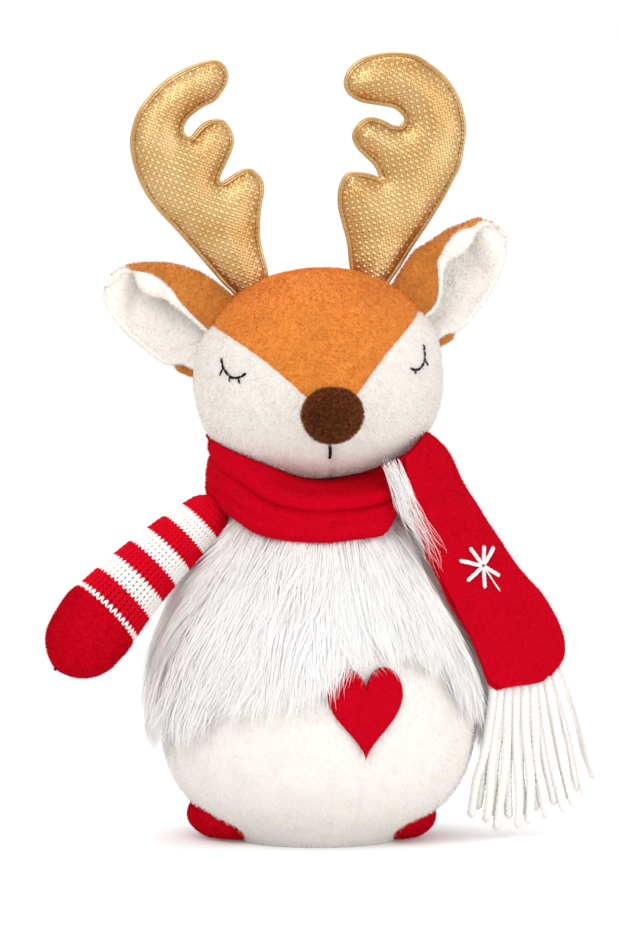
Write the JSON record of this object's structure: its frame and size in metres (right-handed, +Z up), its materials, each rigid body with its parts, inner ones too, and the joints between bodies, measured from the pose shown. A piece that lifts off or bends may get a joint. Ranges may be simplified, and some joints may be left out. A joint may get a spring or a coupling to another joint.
{
  "type": "plush deer",
  "caption": "Standing stuffed deer with padded antlers, cupped ears, closed stitched eyes, a long-pile yoke, striped knit sleeves and a fringed scarf over one arm.",
  "frame": {"origin": "centre of the flat base panel, on the surface that the toy stands on", "axes": "+Z up through the body and head, -Y the way the face looks, +X towards the deer's left arm"},
  "size_m": [0.2691, 0.1768, 0.3972],
  "materials": {
    "white_plush": "short-pile plush",
    "orange_plush": "short-pile plush",
    "red_plush": "short-pile plush",
    "red_fleece": "brushed fleece",
    "red_felt": "felt",
    "brown_plush": "short-pile plush",
    "long_pile": "long-pile faux fur",
    "striped_knit": "stocking-stitch knit in red and white bands",
    "gold_embossed": "embossed metallic leatherette",
    "fibre_fill": "polyester fibre",
    "calico": "plain woven bag of beads",
    "black_thread": "embroidery thread",
    "white_yarn": "plied yarn"
  },
  "bodies": {
    "torso": {"base_panel": "white_plush", "body_front_left": "white_plush", "body_front_right": "white_plush", "body_back_left": "white_plush", "body_back_right": "white_plush", "body_stuffing": "fibre_fill", "pellet_bag": "calico", "fur_yoke": "long_pile", "heart_patch": "red_felt", "left_foot": "red_plush", "right_foot": "red_plush", "left_cheek": "white_plush", "right_cheek": "white_plush", "left_crown": "orange_plush", "right_crown": "orange_plush", "head_stuffing": "fibre_fill", "nose": "brown_plush", "left_eye": "black_thread", "right_eye": "black_thread", "mouth": "black_thread", "left_antler_front": "gold_embossed", "left_antler_back": "gold_embossed", "left_antler_stuffing": "fibre_fill", "right_antler_front": "gold_embossed", "right_antler_back": "gold_embossed", "right_antler_stuffing": "fibre_fill", "scarf_wrap": "red_fleece"},
    "right_arm": {"right_sleeve": "striped_knit", "right_mitten": "red_fleece", "right_arm_stuffing": "fibre_fill"},
    "left_arm": {"left_sleeve": "striped_knit", "left_mitten": "red_fleece", "left_arm_stuffing": "fibre_fill"},
    "right_ear": {"right_ear_back": "orange_plush", "right_ear_lining": "white_plush"},
    "left_ear": {"left_ear_back": "orange_plush", "left_ear_lining": "white_plush"},
    "tail": {"scarf_tail": "red_fleece", "snowflake": "white_yarn"},
    "fringe": {"scarf_fringe": "white_yarn"}
  },
  "joints": [
    {"name": "right_arm_raise", "type": "hinge", "parent": "torso", "child": "right_arm", "pos_m": [-0.06064, -0.01289, 0.152], "axis": [-0.2079, 0.9781, 0], "range_deg": [0, 85]},
    {"name": "left_arm_swing", "type": "hinge", "parent": "torso", "child": "left_arm", "pos_m": [0.06064, 0.01289, 0.152], "axis": [0.9781, 0.2079, 0], "range_deg": [0, 80]},
    {"name": "scarf_tail_lift", "type": "hinge", "parent": "torso", "child": "tail", "pos_m": [0.0545, -0.027, 0.195], "axis": [-0.4534, -0.8766, -0.1612], "range_deg": [0, 85]},
    {"name": "fringe_swing", "type": "hinge", "parent": "tail", "child": "fringe", "pos_m": [0.1073, -0.0084, 0.0743], "axis": [-0.9404, 0, -0.3401], "range_deg": [-15, 60]},
    {"name": "right_ear_fold", "type": "hinge", "parent": "torso", "child": "right_ear", "pos_m": [-0.05813, 0.0016, 0.25722], "axis": [0.506, 0, 0.8625], "range_deg": [-20, 25], "stiffness_Nm_per_rad": 0.06},
    {"name": "left_ear_fold", "type": "hinge", "parent": "torso", "child": "left_ear", "pos_m": [0.05489, 0.0016, 0.26433], "axis": [-0.6101, 0, 0.7923], "range_deg": [-25, 20], "stiffness_Nm_per_rad": 0.06}
  ]
}
